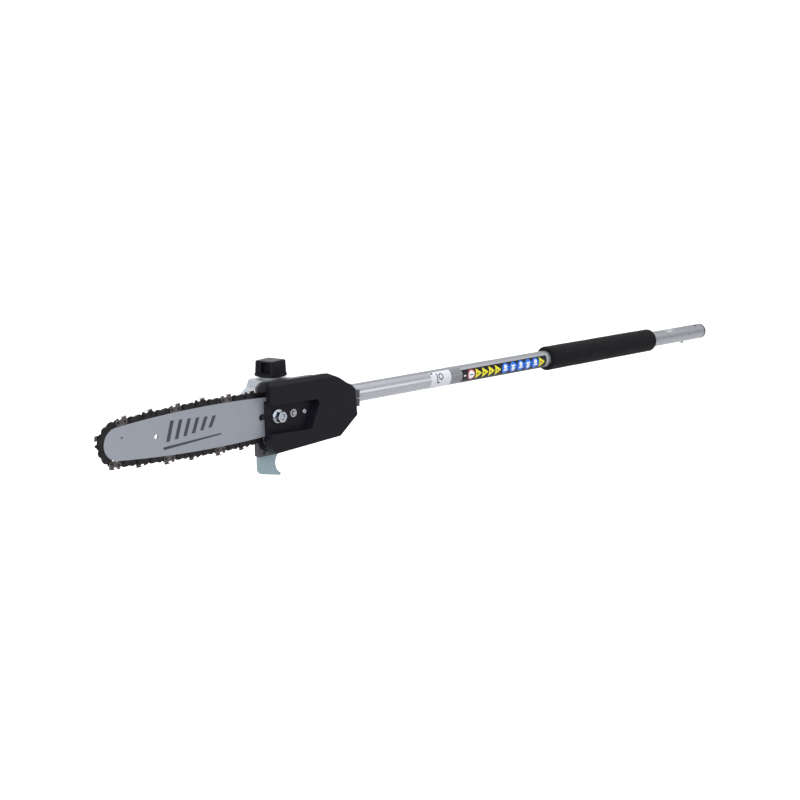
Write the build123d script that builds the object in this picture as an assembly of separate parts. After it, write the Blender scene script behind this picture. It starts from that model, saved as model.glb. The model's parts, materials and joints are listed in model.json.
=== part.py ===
from build123d import *

import os
from math import atan2, cos, degrees, hypot, pi, radians, sin, sqrt, tan

# Pole saw attachment: a fixed shaft tube carries a right-angle gearcase, guide bar and saw chain.
# Frame, in millimetres: the origin is the centre of the tube's coupling end, +X points out of
# that end towards the power head, so the saw head lies at -X. The guide bar lies in an XZ plane
# on the -Y side, and +Z is up.

# ---------------------------------------------------------------- driving dimensions
TUBE_R = 12.7                    # one-inch shaft tube
TUBE_WALL = 1.6
TUBE_BORE_R = TUBE_R - TUBE_WALL
END_RING_LENGTH = 3.2
TUBE_HEAD_X = -897.0             # tube end inside the gearcase socket
SOCKET_MOUTH_X = -851.0          # gearcase edge where the tube enters
LOCK_HOLE_X = -21.0
LOCK_HOLE_R = 3.1
LOCK_HOLE_TURN = 17.0            # from +Z towards the bar's side
INSERTION_GROOVE_X = -48.0
LOCATING_PIN_X = -54.0
LOCATING_PIN_R = 2.5
SHAFT_R = 4.0                    # steel drive shaft in the tube
SHAFT_SQUARE = 5.2
RUNNING = 0.05                   # radial clearance of a running fit

GRIP_R = 18.8
GRIP_X = (-432.0, -156.0)
LABEL_THICKNESS = 0.2
SYMBOL_LABEL_X = (-636.0, -443.0)
FILM_X = (-660.0, -636.0)
INFO_LABEL_X = (-701.0, -660.0)
ARROW_LABEL_X = (-112.0, -91.0)

SPINDLE_X = -935.8               # output spindle axis, along Y
SPINDLE_R = 6.0
BAR_Y = -37.6                    # centre plane of guide bar and chain
CORE_HALF = 0.75                 # half the bar groove width
BAR_PLATE = 1.15                 # each outer laminate
BAR_HALF = CORE_HALF + BAR_PLATE
BAR_MID_X = -1107.0              # widest point of the bar
BAR_MID_HALF = 26.9
BAR_EDGE_R = 1450.0              # convex rail
RAIL_REACH = 103.0               # the rails end this far behind the widest point
NOSE_X = -1249.0                 # nose wheel centre
NOSE_R = BAR_EDGE_R - hypot(BAR_MID_X - NOSE_X, BAR_EDGE_R - BAR_MID_HALF)
BAR_TAIL_X = -955.0
GROOVE_DEPTH = 6.6
SLOT_HALF = 4.2
SLOT_X = (-1041.0, -962.0)
STUD_X = -1016.5
POST_X = -990.0
TENSION_X = -972.0
TENSION_PIN_X = -1002.0
TENSION_PIN_Z = -13.5
TENSION_PIN_R = 2.5

CHAIN_PITCH = 9.525              # rivet to rivet, half of a three-eighths drive link step
RIVETS = 80                      # forty drive links
RIVET_HEIGHT = 3.45              # rivet line above the rail
SPROCKET_TEETH = 6
NOSE_TEETH = 8
CHAIN_PHASE = 4.2                # how far a drive link lies past the sprocket's rear point
CUTTER_START = 3                 # which tie strap of the pattern comes first
BAR_RIVETS = ((-1177.0, 12.0), (-1177.0, -12.0), (-1072.0, 14.0), (-1072.0, -14.0))
NOSE_RIVETS = tuple((NOSE_X + 5.2 * cos(radians(a)), 5.2 * sin(radians(a))) for a in (0, 90, 180, 270))

PAD_Y = -34.9                    # bar seat on the gearcase, behind the guide plate
PLATE_Y = (-31.0, -23.0)         # cast plate behind the chain
PLATE_THIN_X = -1022.5           # left of this the plate is only a thin flange
PLATE_THIN_Y = -27.0
CLAMP_FACE_Y = -21.5
CLAMP_SCREWS_X = (-859.0, -878.0)
CLAMP_SCREW_Y = -16.9
HOOK_SCREWS = ((-1027.0, -48.6), (-1010.0, -41.0))
HOOK_SCREW_R = 2.0
TANK_SCREWS = ((-982.0, 33.0), (-1016.5, -24.0))
LID_SCREWS = tuple((SPINDLE_X + 19.3 * cos(radians(a)), 19.3 * sin(radians(a))) for a in (45, 135, 225, 315))
LID_Y = 20.0                     # joint face of the gearcase lid
COVER_FRONT_Y = -57.0
COVER_WALL = 2.6
COVER_TOP_Z = 45.6
COVER_REAR_TOP_Z = 41.6
COVER_CHAMFER = 4.8
RECESS_FLOOR_Y = -46.0
RECESS_FLOOR_WALL = 3.0

CAP_X, CAP_Y = -993.0, -6.0
CAP_BASE_Z, CAP_TOP_Z = 44.8, 64.6
CAP_R = 20.8
CAP_FLAT = 15.6                  # half the distance across the knob's flats
CAP_CORNER = 4.2
CAP_TURN = 192.6                 # direction of the first finger hollow
TANK_LOW_X = -976.0              # tank end wall that the pick-up hose passes through
TANK_TOP_Z = 40.0
TANK_WALL = 2.6

BEVEL_MODULE = 1.75
PINION_TEETH = 12
BEVEL_TEETH = 15
PUMP_MODULE = 1.0
PUMP_PINION_TEETH = 16
PUMP_GEAR_TEETH = 32
PUMP_X, PUMP_Z = SPINDLE_X - 17.0, -17.0
PUMP_LINE = atan2(PUMP_Z, PUMP_X - SPINDLE_X)
PUMP_GEAR_PHASE = PUMP_LINE + pi
PUMP_PINION_PHASE = PUMP_LINE + pi / PUMP_PINION_TEETH
RACK_MODULE = 0.9
TENSION_TEETH = 10


# ---------------------------------------------------------------- shape helpers
def cyl_x(radius, x0, x1, y=0.0, z=0.0):
    return Pos((x0 + x1) / 2, y, z) * Rot(0, 90, 0) * Cylinder(radius, abs(x1 - x0))


def cyl_y(radius, y0, y1, x=0.0, z=0.0):
    return Pos(x, (y0 + y1) / 2, z) * Rot(90, 0, 0) * Cylinder(radius, abs(y1 - y0))


def cyl_z(radius, z0, z1, x=0.0, y=0.0):
    return Pos(x, y, (z0 + z1) / 2) * Cylinder(radius, abs(z1 - z0))


def block(x0, x1, y0, y1, z0, z1):
    return Pos((x0 + x1) / 2, (y0 + y1) / 2, (z0 + z1) / 2) * Box(x1 - x0, y1 - y0, z1 - z0)


def prism_y(points, y0, y1, corner=0.0):
    """Outline in X and Z, from y0 back to y1, with all its corners rounded if asked."""
    face = make_face(Polyline(*points, close=True))
    if corner:
        face = fillet(face.vertices(), corner)
    return extrude(Plane.XZ.offset(-y1) * face, amount=y1 - y0)


def curved_prism_y(face, y0, y1):
    return extrude(Plane.XZ.offset(-y1) * face, amount=y1 - y0)


def hex_y(across_flats, y0, y1, x, z):
    face = RegularPolygon(across_flats / 2, 6, major_radius=False)
    return Pos(x, y1, z) * extrude(Plane.XZ * face, amount=y1 - y0)


def gear_outline(module, teeth, addendum, dedendum, tooth_share, first_tooth):
    """Straight-flanked gear profile; first_tooth is the angle of one tooth's centre."""
    pitch_r = module * teeth / 2
    tip_r = pitch_r + addendum * module
    root_r = pitch_r - dedendum * module
    half = tooth_share * pi * module / 2
    points = []
    for tooth in range(teeth):
        centre = first_tooth + 2 * pi * tooth / teeth
        for radius, side in ((root_r, -1), (tip_r, -1), (tip_r, 1), (root_r, 1)):
            lean = (radius - pitch_r) * tan(radians(20))
            turn = centre + side * (half - lean) / radius
            points.append((radius * cos(turn), radius * sin(turn)))
    return points


def gear_y(points, y0, y1, x, z):
    return Pos(x, 0, z) * prism_y(points, y0, y1)


def save(node, *solids):
    shape = solids[0] if len(solids) == 1 else Compound(children=list(solids))
    export_step(shape, "parts/%s.step" % node)


# ---------------------------------------------------------------- pole
def pole_tube():
    tube = cyl_x(TUBE_R, TUBE_HEAD_X, -END_RING_LENGTH)
    tube -= cyl_x(TUBE_BORE_R, TUBE_HEAD_X - 1, 1)
    tube -= Rot(LOCK_HOLE_TURN, 0, 0) * cyl_z(LOCK_HOLE_R, 0, TUBE_R + 1, LOCK_HOLE_X)
    tube -= cyl_z(LOCATING_PIN_R, -TUBE_R - 1, 0, LOCATING_PIN_X)
    groove_ring = cyl_x(TUBE_R + 1, INSERTION_GROOVE_X - 1.4, INSERTION_GROOVE_X)
    groove_ring -= cyl_x(TUBE_R - 0.25, INSERTION_GROOVE_X - 2, INSERTION_GROOVE_X + 1)
    return tube - groove_ring


def coupling_end_ring():
    ring = cyl_x(TUBE_R, -END_RING_LENGTH, 0) + cyl_x(TUBE_BORE_R, -14, -END_RING_LENGTH)
    return ring - cyl_x(9.6, -15, 1)


def locating_pin():
    pin = cyl_z(LOCATING_PIN_R, -14.4, -9.6, LOCATING_PIN_X)
    pin += Pos(LOCATING_PIN_X, 0, -14.4) * Sphere(LOCATING_PIN_R)
    return pin + cyl_z(LOCATING_PIN_R + 1.2, -10.2, -8.8, LOCATING_PIN_X)


def shaft_bushings():
    bushings = []
    for x in (-140.0, -400.0, -660.0):
        bush = cyl_x(TUBE_BORE_R, x - 12, x + 12) - cyl_x(SHAFT_R + RUNNING, x - 13, x + 13)
        for turn in range(4):
            relief = Pos(x, 0, 0) * Rot(45 + 90 * turn, 0, 0) * Pos(0, 0, 8.6) * Box(26, 6, 3.4)
            bush -= relief
        bushings.append(bush)
    return bushings


def foam_grip():
    x0, x1 = GRIP_X
    sleeve = cyl_x(GRIP_R, x0, x1)
    sleeve = fillet(sleeve.edges().filter_by(GeomType.CIRCLE), 2.4)
    return sleeve - cyl_x(TUBE_R, x0 - 1, x1 + 1)


def wrap_label(x0, x1, start, end):
    """Thin printed sheet on the tube from angle start to end, measured from -Y towards -Z."""
    outer = TUBE_R + LABEL_THICKNESS
    sector = make_face([
        Line((TUBE_R * cos(start), TUBE_R * sin(start)), (outer * cos(start), outer * sin(start))),
        CenterArc((0, 0), outer, degrees(start), degrees(end - start)),
        Line((outer * cos(end), outer * sin(end)), (TUBE_R * cos(end), TUBE_R * sin(end))),
        CenterArc((0, 0), TUBE_R, degrees(start), degrees(end - start)),
    ])
    plane = Plane(origin=(x0, 0, 0), x_dir=(0, -1, 0), z_dir=(1, 0, 0))
    return extrude(plane * sector, amount=x1 - x0)


# ---------------------------------------------------------------- gearcase
def gearcase_plate():
    outline = [(-1036, -53), (-1004, -53), (-994, -45), (-922, -36), (-896, -14), (-899, 18),
               (-924, 36), (-940, 40.8), (-1030.5, 41.9), (-1036, 36.5)]
    plate = prism_y(outline, PLATE_Y[0], PLATE_Y[1], 1.5)
    return plate - block(-1038, PLATE_THIN_X, PLATE_THIN_Y, PLATE_Y[1] + 1, -32, 60)


def gearcase():
    case = gearcase_plate()
    case += block(-1031, -958, PAD_Y, PLATE_Y[0], -19.5, 19.5)
    case += cyl_y(22.5, PLATE_Y[0], LID_Y, SPINDLE_X, 0)
    case += cyl_y(21.5, PLATE_Y[0], -12, PUMP_X, PUMP_Z)
    case += cyl_y(11.0, -12, 9, PUMP_X, PUMP_Z)
    case += cyl_x(19.0, SPINDLE_X, -887)
    case += cyl_x(14.8, -887, SOCKET_MOUTH_X)
    case += block(-890, SOCKET_MOUTH_X, CLAMP_FACE_Y, 0, -13.5, 8.5)
    case -= cyl_x(TUBE_R, TUBE_HEAD_X, SOCKET_MOUTH_X + 1)
    case -= cyl_x(12.0, -916, TUBE_HEAD_X)
    case -= cyl_x(12.4, SPINDLE_X, -916)
    case -= cyl_y(16.6, -20, LID_Y + 1, SPINDLE_X, 0)
    case -= cyl_y(13.0, -32, -20, SPINDLE_X, 0)
    case -= cyl_y(18.0, -20, -14.6, PUMP_X, PUMP_Z)
    case -= cyl_y(8.0, -15, 6, PUMP_X, PUMP_Z)
    case -= cyl_x(3.0, -984, PUMP_X - 7, -4, PUMP_Z)
    case -= block(-891, SOCKET_MOUTH_X + 1, CLAMP_FACE_Y - 1, -TUBE_R + 2, -3.9, -2.1)
    for x in CLAMP_SCREWS_X:
        case -= cyl_z(2.5, -20, 10, x, CLAMP_SCREW_Y)
        case -= cyl_z(4.2, 5.0, 20, x, CLAMP_SCREW_Y)
    case -= cyl_y(4.0, PAD_Y - 1, -25, STUD_X, 0)
    case -= cyl_y(4.0, PAD_Y - 1, -25, POST_X, 0)
    case -= block(-1013, -956.5, PAD_Y - 1, -28.9, -18, -4.9)
    case -= block(-985, -956.5, PAD_Y - 1, -28.9, -6, -3.4)
    case -= cyl_y(5.6, PAD_Y - 1, -28.9, TENSION_X, 0)
    case -= cyl_y(3.0, PAD_Y, -26.0, TENSION_X, 0)
    for x, z in HOOK_SCREWS:
        case -= cyl_y(HOOK_SCREW_R, -32, -22, x, z)
    for x, z in TANK_SCREWS:
        case -= cyl_y(2.0, -32, -22, x, z)
    for x, z in LID_SCREWS:
        case -= cyl_y(1.5, LID_Y - 9, LID_Y + 1, x, z)
    return case


def cap_screw_z(radius, head_r, z_tip, z_seat, z_head, x, y):
    screw = cyl_z(radius, z_tip, z_seat, x, y) + cyl_z(head_r, z_seat, z_head, x, y)
    socket = extrude(RegularPolygon(head_r * 0.5, 6), amount=-(z_head - z_seat) * 0.6)
    return screw - Pos(x, y, z_head) * socket


def cap_screw_y(radius, head_r, y_tip, y_seat, y_head, x, z):
    """Socket screw along Y whose head lies on the y_head side of its seat."""
    screw = cyl_y(radius, y_tip, y_seat, x, z) + cyl_y(head_r, y_seat, y_head, x, z)
    depth = (y_head - y_seat) * 0.6
    socket = hex_y(head_r, min(y_head, y_head - depth), max(y_head, y_head - depth), x, z)
    return screw - socket


def clamp_screws():
    return [cap_screw_z(2.5, 4.0, -13.0, 5.0, 9.0, x, CLAMP_SCREW_Y) for x in CLAMP_SCREWS_X]


def gearcase_lid():
    lid = cyl_y(22.5, LID_Y, LID_Y + 4, SPINDLE_X, 0)
    lid += cyl_y(16.4, LID_Y - 7, LID_Y, SPINDLE_X, 0)
    lid = fillet(lid.edges().filter_by(GeomType.CIRCLE).group_by(Axis.Y)[-1], 0.8)
    lid -= cyl_y(11.0, LID_Y - 8, LID_Y, SPINDLE_X, 0)
    for x, z in LID_SCREWS:
        lid -= cyl_y(1.7, LID_Y - 1, LID_Y + 5, x, z)
    return lid


def lid_screws():
    return [cap_screw_y(1.5, 2.6, LID_Y - 9, LID_Y + 4, LID_Y + 6.6, x, z) for x, z in LID_SCREWS]


def pinion_bearings():
    rings = []
    for x0 in (-915.0, -906.0):
        rings.append(cyl_x(12.0, x0, x0 + 8) - cyl_x(SHAFT_R + 2 + RUNNING, x0 - 1, x0 + 9))
    return rings


def spindle_bearings():
    front = cyl_y(13.0, -28, -20, SPINDLE_X, 0) - cyl_y(SPINDLE_R + RUNNING, -29, -19, SPINDLE_X, 0)
    rear = cyl_y(11.0, LID_Y - 7, LID_Y - 0.5, SPINDLE_X, 0)
    rear -= cyl_y(5.0 + RUNNING, LID_Y - 8, LID_Y, SPINDLE_X, 0)
    return [front, rear]


def spindle_seal():
    return cyl_y(13.0, -31, -28, SPINDLE_X, 0) - cyl_y(SPINDLE_R + RUNNING, -32, -27, SPINDLE_X, 0)


def inner_guide_plate():
    plate = block(-1030.5, -958, PAD_Y - 0.8, PAD_Y, -19, 19)
    plate = fillet(plate.edges().filter_by(Axis.Y), 4)
    plate -= cyl_y(4.0, PAD_Y - 2, PAD_Y + 1, STUD_X, 0)
    plate -= cyl_y(4.0, PAD_Y - 2, PAD_Y + 1, POST_X, 0)
    plate -= cyl_y(3.0 + RUNNING, PAD_Y - 2, PAD_Y + 1, TENSION_X, 0)
    slot = SlotOverall(16.5, 2 * TENSION_PIN_R + 1.2)
    return plate - Pos(TENSION_PIN_X, PAD_Y + 1, TENSION_PIN_Z) * extrude(Plane.XZ * slot, amount=3)


def bar_stud():
    stud = cyl_y(4.0, -55.5, -25, STUD_X, 0)
    return chamfer(stud.edges().filter_by(GeomType.CIRCLE).group_by(Axis.Y)[0], 0.8)


def rear_guide_post():
    return cyl_y(4.0, -40.6, -25, POST_X, 0) + cyl_y(2.3, -47.5, -40.6, POST_X, 0)


# ---------------------------------------------------------------- oil system
def tank_outline(inset):
    low_x = TANK_LOW_X - inset
    return [(-1030 + inset, -30 + inset), (low_x, -30 + inset), (low_x, 6),
            (-965 - inset, 14), (-965 - inset, TANK_TOP_Z - inset), (-1013 + inset, TANK_TOP_Z - inset),
            (-1017 + inset, 30), (-1026 + inset, 23), (-1030 + inset, 12)]


def oil_tank():
    back_y, wall = 17.0, TANK_WALL
    shell = prism_y(tank_outline(0), PLATE_Y[1], back_y, 4)
    shell = fillet(shell.edges().group_by(Axis.Y)[-1], 4)
    lip = prism_y(tank_outline(0), PLATE_THIN_Y, PLATE_Y[1], 4)
    shell += lip - block(PLATE_THIN_X, -882, PLATE_THIN_Y - 1, PLATE_Y[1] + 1, -60, 60)
    shell += cyl_z(14.0, TANK_TOP_Z - 2, CAP_BASE_Z - 1.2, CAP_X, CAP_Y)
    shell -= prism_y(tank_outline(wall), PLATE_Y[1] + wall, back_y - wall, 2)
    for x, z in TANK_SCREWS:
        shell += cyl_y(4.6, PLATE_Y[1], -11, x, z)
        shell -= cyl_y(1.9, -24, -12.6, x, z)
    shell -= cyl_z(11.0, TANK_TOP_Z - 5, 60, CAP_X, CAP_Y)
    return shell - cyl_x(4.5, TANK_LOW_X - 6, TANK_LOW_X + 8, -4, PUMP_Z)


def tank_grommet():
    inner_x = TANK_LOW_X - TANK_WALL
    grommet = cyl_x(4.5, inner_x, TANK_LOW_X, -4, PUMP_Z) + cyl_x(6.0, inner_x - 2, inner_x, -4, PUMP_Z)
    return grommet - cyl_x(3.0, inner_x - 3, TANK_LOW_X + 1, -4, PUMP_Z)


def oil_pickup_hose():
    hose = cyl_x(3.0, -1000, PUMP_X - 9.0, -4, PUMP_Z)
    return hose - cyl_x(1.7, -1001, PUMP_X - 8, -4, PUMP_Z)


def oil_filter():
    filter_body = cyl_x(6.5, -1018, -1000, -4, PUMP_Z)
    filter_body = fillet(filter_body.edges().filter_by(GeomType.CIRCLE), 1.2)
    return filter_body


def oil_pump_body():
    body = cyl_y(8.0, -14.4, 6, PUMP_X, PUMP_Z)
    body -= cyl_y(2.5 + RUNNING, -15, 3, PUMP_X, PUMP_Z)
    return body


def pump_gear():
    points = gear_outline(PUMP_MODULE, PUMP_GEAR_TEETH, 0.75, 1.1, 0.42, PUMP_GEAR_PHASE)
    gear = gear_y(points, -19.4, -15.4, PUMP_X, PUMP_Z)
    return gear + cyl_y(2.5, -15.4, 2.5, PUMP_X, PUMP_Z)


def cap_gasket():
    ring = cyl_z(16.6, CAP_BASE_Z - 1.2, CAP_BASE_Z + 0.8, CAP_X, CAP_Y)
    return ring - cyl_z(10.6, CAP_BASE_Z - 2, CAP_BASE_Z + 2, CAP_X, CAP_Y)


def oil_cap():
    """Square knob with two finger hollows, a round foot and a plug in the neck."""
    place = Pos(CAP_X, CAP_Y, 0) * Rot(0, 0, CAP_TURN)
    square = place * Pos(0, 0, CAP_BASE_Z) * RectangleRounded(2 * CAP_FLAT, 2 * CAP_FLAT, CAP_CORNER)
    knob = extrude(square, amount=CAP_TOP_Z - CAP_BASE_Z, taper=3)
    knob = fillet(knob.edges().group_by(Axis.Z)[-1], 2.0)
    knob += cyl_z(CAP_R, CAP_BASE_Z, CAP_BASE_Z + 2.6, CAP_X, CAP_Y)
    for turn in (0, 180):
        hollow = place * Rot(0, 0, turn)
        knob -= hollow * block(9.5, CAP_R + 5, -4.0, 11.0, CAP_BASE_Z + 4.6, CAP_TOP_Z - 2.6)
    knob -= cyl_z(17.0, CAP_BASE_Z - 1, CAP_BASE_Z + 1.0, CAP_X, CAP_Y)
    return knob + cyl_z(10.2, CAP_BASE_Z - 8, CAP_BASE_Z + 2.0, CAP_X, CAP_Y)


# ---------------------------------------------------------------- hook
def limb_hook():
    body = make_face([
        Polyline((-998, -56), (-998, -34), (-1031.0, -34), (-1031.0, -70)),
        RadiusArc((-1031.0, -70), (-1025, -78.2), -8.5),
        Polyline((-1025, -78.2), (-994.5, -84.4), (-993, -81.2)),
        ThreePointArc((-993, -81.2), (-1002, -68.5), (-998, -56)),
    ])
    plate = curved_prism_y(body, PLATE_Y[1], PLATE_Y[1] + 3)
    for x, z in HOOK_SCREWS:
        plate -= cyl_y(HOOK_SCREW_R, -24, -19, x, z)
    return plate


def hook_screws():
    return [cap_screw_y(HOOK_SCREW_R, 3.6, PLATE_Y[0] + 3.0, PLATE_Y[1] + 3, PLATE_Y[1] + 6.6, x, z)
            for x, z in HOOK_SCREWS]


def tank_screws():
    return [cap_screw_y(1.9, 3.4, -13, PLATE_Y[0], PLATE_Y[0] - 1.6, x, z) for x, z in TANK_SCREWS]


# ---------------------------------------------------------------- drive line
def drive_shaft():
    shaft = cyl_x(SHAFT_R, -920, -30)
    shaft += block(-30, -12, -SHAFT_SQUARE / 2, SHAFT_SQUARE / 2, -SHAFT_SQUARE / 2, SHAFT_SQUARE / 2)
    return shaft


def bevel_teeth(teeth, other_teeth, first_tooth):
    """Bevel gear about +Z, apex at the origin, large end at the higher Z."""
    pitch_r = BEVEL_MODULE * teeth / 2
    apex = BEVEL_MODULE * other_teeth / 2
    cone = atan2(pitch_r, apex)
    add, ded = 0.62 * BEVEL_MODULE, 1.0 * BEVEL_MODULE
    half = 0.38 * pi * BEVEL_MODULE / 2
    small = 0.62
    root_r, root_z = pitch_r - ded * cos(cone), apex + ded * sin(cone)
    tip_r, tip_z = pitch_r + add * cos(cone), apex - add * sin(cone)
    profile = Polyline((0, root_z * small), (root_r * small, root_z * small), (root_r, root_z),
                       (0, root_z), close=True)
    blank = revolve(Plane.XZ * make_face(profile), Axis.Z)
    deep_r, deep_z = root_r - 0.5 * cos(cone), root_z + 0.5 * sin(cone)
    sections = []
    for scale in (small, 1.0):
        wide = half + (ded + 0.5) * tan(radians(20))
        narrow = half - add * tan(radians(20))
        corners = [Vector(deep_r * scale, -wide * scale, deep_z * scale),
                   Vector(tip_r * scale, -narrow * scale, tip_z * scale),
                   Vector(tip_r * scale, narrow * scale, tip_z * scale),
                   Vector(deep_r * scale, wide * scale, deep_z * scale)]
        sections.append(Face(Wire(Polyline(*corners, close=True).edges())))
    tooth = loft(sections)
    gear = blank
    for index in range(teeth):
        gear += Rot(0, 0, degrees(first_tooth) + 360 * index / teeth) * tooth
    return gear, root_z


def bevel_pinion():
    """Pinion about X: its cone points from the spindle axis towards +X."""
    gear, back = bevel_teeth(PINION_TEETH, BEVEL_TEETH, 0.0)
    placed = Pos(SPINDLE_X, 0, 0) * Rot(0, 90, 0) * gear
    placed += cyl_x(SHAFT_R + 2, SPINDLE_X + back - 0.2, -896)
    return placed - cyl_x(SHAFT_R, -920, -882)


def bevel_gear():
    """Gear about Y on the bar side of the spindle, its cone opening towards -Y."""
    gear, back = bevel_teeth(BEVEL_TEETH, PINION_TEETH, pi / BEVEL_TEETH)
    placed = Pos(SPINDLE_X, 0, 0) * Rot(90, 0, 0) * gear
    return placed - cyl_y(5.0, -30, 5, SPINDLE_X, 0)


def output_spindle():
    spindle = cyl_y(5.0, -45.5, LID_Y - 0.6, SPINDLE_X, 0)
    spindle += cyl_y(SPINDLE_R, -34.0, -19.6, SPINDLE_X, 0)
    groove = cyl_y(6, -44.2, -43.0, SPINDLE_X, 0) - cyl_y(4.0, -45, -42, SPINDLE_X, 0)
    return spindle - groove


def pump_drive_gear():
    points = gear_outline(PUMP_MODULE, PUMP_PINION_TEETH, 0.75, 1.1, 0.42, PUMP_PINION_PHASE)
    return gear_y(points, -19.4, -15.4, SPINDLE_X, 0) - cyl_y(5.0, -20, -15, SPINDLE_X, 0)


def drive_sprocket():
    hub = cyl_y(8.0, -41.2, -34.0, SPINDLE_X, 0)
    for tooth in range(SPROCKET_TEETH):
        turn = (tooth + 0.5 - CHAIN_PHASE / CHAIN_PITCH / 2) * 360 / SPROCKET_TEETH
        tooth_shape = prism_y([(6, -2.2), (14.0, -3.1), (14.0, 3.1), (6, 2.2)], -41.2, -34.0)
        hub += Pos(SPINDLE_X, 0, 0) * Rot(0, turn, 0) * tooth_shape
    return hub - cyl_y(5.0, -50, -30, SPINDLE_X, 0)


def sprocket_washer():
    washer = cyl_y(11.0, -42.8, -41.4, SPINDLE_X, 0)
    return washer - cyl_y(5.0, -44, -41, SPINDLE_X, 0)


def sprocket_e_clip():
    clip = cyl_y(8.0, -44.1, -43.1, SPINDLE_X, 0) - cyl_y(4.0, -45, -42, SPINDLE_X, 0)
    return clip - block(SPINDLE_X, SPINDLE_X + 10, -45, -42, -3.0, 3.0)


# ---------------------------------------------------------------- guide bar
def bar_face(shrink, slot_x):
    """Bar outline with convex rails, round nose and stepped tail, shrunk evenly by an offset."""
    tail = BAR_TAIL_X - shrink
    rail_r = BAR_EDGE_R - shrink
    nose_r = NOSE_R - shrink
    rail_centre = BAR_MID_HALF - BAR_EDGE_R
    lean = atan2(BAR_MID_X - NOSE_X, -rail_centre)
    touch = (NOSE_X - nose_r * sin(lean), nose_r * cos(lean))
    shoulder = (BAR_MID_X + RAIL_REACH, rail_centre + sqrt(rail_r ** 2 - RAIL_REACH ** 2))
    heel = (tail, 11.5 - shrink)
    mirror = [(x, -z) for x, z in (touch, shoulder, heel)]
    face = make_face([
        RadiusArc(touch, shoulder, rail_r),
        RadiusArc(shoulder, heel, 170 - shrink),
        Line(heel, mirror[2]),
        RadiusArc(mirror[2], mirror[1], 170 - shrink),
        RadiusArc(mirror[1], mirror[0], rail_r),
        ThreePointArc(mirror[0], (NOSE_X - nose_r, 0), touch),
    ])
    slot_length = slot_x[1] - slot_x[0]
    slot = Pos((slot_x[0] + slot_x[1]) / 2, 0) * SlotOverall(slot_length, 2 * SLOT_HALF)
    pin_hole = Circle(TENSION_PIN_R + 0.05)
    face -= slot
    for side in (-1, 1):
        face -= Pos(TENSION_PIN_X, side * abs(TENSION_PIN_Z)) * pin_hole
    return face


def bar_side_plates():
    plates = []
    for y0 in (BAR_Y - BAR_HALF, BAR_Y + CORE_HALF):
        plate = curved_prism_y(bar_face(0.0, SLOT_X), y0, y0 + BAR_PLATE)
        for x, z in BAR_RIVETS:
            plate -= cyl_y(2.5, y0 - 1, y0 + 3, x, z)
        for x, z in NOSE_RIVETS:
            plate -= cyl_y(1.2, y0 - 1, y0 + 3, x, z)
        plate -= cyl_y(1.3, y0 - 1, y0 + 3, NOSE_X + 4.6, 6.6)
        plate -= cyl_y(3.0, y0 - 1, y0 + 3, -1196.0, 0)
        plates.append(plate)
    return plates


def bar_core():
    core = curved_prism_y(bar_face(GROOVE_DEPTH, SLOT_X), BAR_Y - CORE_HALF, BAR_Y + CORE_HALF)
    core -= block(NOSE_X - 40, NOSE_X + 30, BAR_Y - 2, BAR_Y + 2, -30, 30)
    for x, z in BAR_RIVETS:
        core -= cyl_y(2.5, BAR_Y - 1, BAR_Y + 1, x, z)
    return core - cyl_y(3.0, BAR_Y - 1, BAR_Y + 1, -1196.0, 0)


def bar_rivets():
    rivets = [cyl_y(2.5, BAR_Y - BAR_HALF, BAR_Y + BAR_HALF, x, z) for x, z in BAR_RIVETS]
    rivets += [cyl_y(1.2, BAR_Y - BAR_HALF, BAR_Y + BAR_HALF, x, z) for x, z in NOSE_RIVETS]
    return rivets


def nose_hub():
    hub = cyl_y(7.6, BAR_Y - CORE_HALF, BAR_Y + CORE_HALF, NOSE_X, 0)
    for x, z in NOSE_RIVETS:
        hub -= cyl_y(1.2, BAR_Y - 1, BAR_Y + 1, x, z)
    return hub


def nose_sprocket():
    """Thin star wheel whose gaps take the chain's drive tangs."""
    thick = CORE_HALF - 0.1
    wheel = cyl_y(13.8, BAR_Y - thick, BAR_Y + thick, NOSE_X, 0)
    step = 360 / NOSE_TEETH
    for tooth in range(NOSE_TEETH):
        turn = (tooth + 0.5) * step - CHAIN_PHASE / CHAIN_PITCH * step / 2
        point = prism_y([(12.0, -3.0), (20.8, -0.9), (20.8, 0.9), (12.0, 3.0)],
                        BAR_Y - thick, BAR_Y + thick)
        wheel += Pos(NOSE_X, 0, 0) * Rot(0, turn, 0) * point
    return wheel - cyl_y(7.6 + RUNNING, BAR_Y - 2, BAR_Y + 2, NOSE_X, 0)


def tension_rack():
    """Rack block behind the bar with the pin that stands in the bar's adjuster hole."""
    pitch = pi * RACK_MODULE
    line = -RACK_MODULE * TENSION_TEETH / 2
    half, add, ded = 0.40 * pitch / 2, 0.6 * RACK_MODULE, 0.9 * RACK_MODULE
    slope = tan(radians(20))
    body_y = (PAD_Y, -29.2)
    root = line - ded
    rack = prism_y([(-981, root), (-962.5, root), (-962.5, -10.2), (-1008, -17.0), (-1008, -10.2),
                    (-998, -7.0), (-981, -7.0)], body_y[0], body_y[1])
    for step in range(-2, 3):
        x = TENSION_X + (step + 0.5) * pitch
        tooth = [(x - half - ded * slope, root - 0.2), (x - half + add * slope, line + add),
                 (x + half - add * slope, line + add), (x + half + ded * slope, root - 0.2)]
        rack += prism_y(tooth, body_y[0], body_y[1])
    pin = cyl_y(TENSION_PIN_R, BAR_Y - BAR_HALF, body_y[0], TENSION_PIN_X, TENSION_PIN_Z)
    return rack + pin


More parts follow.
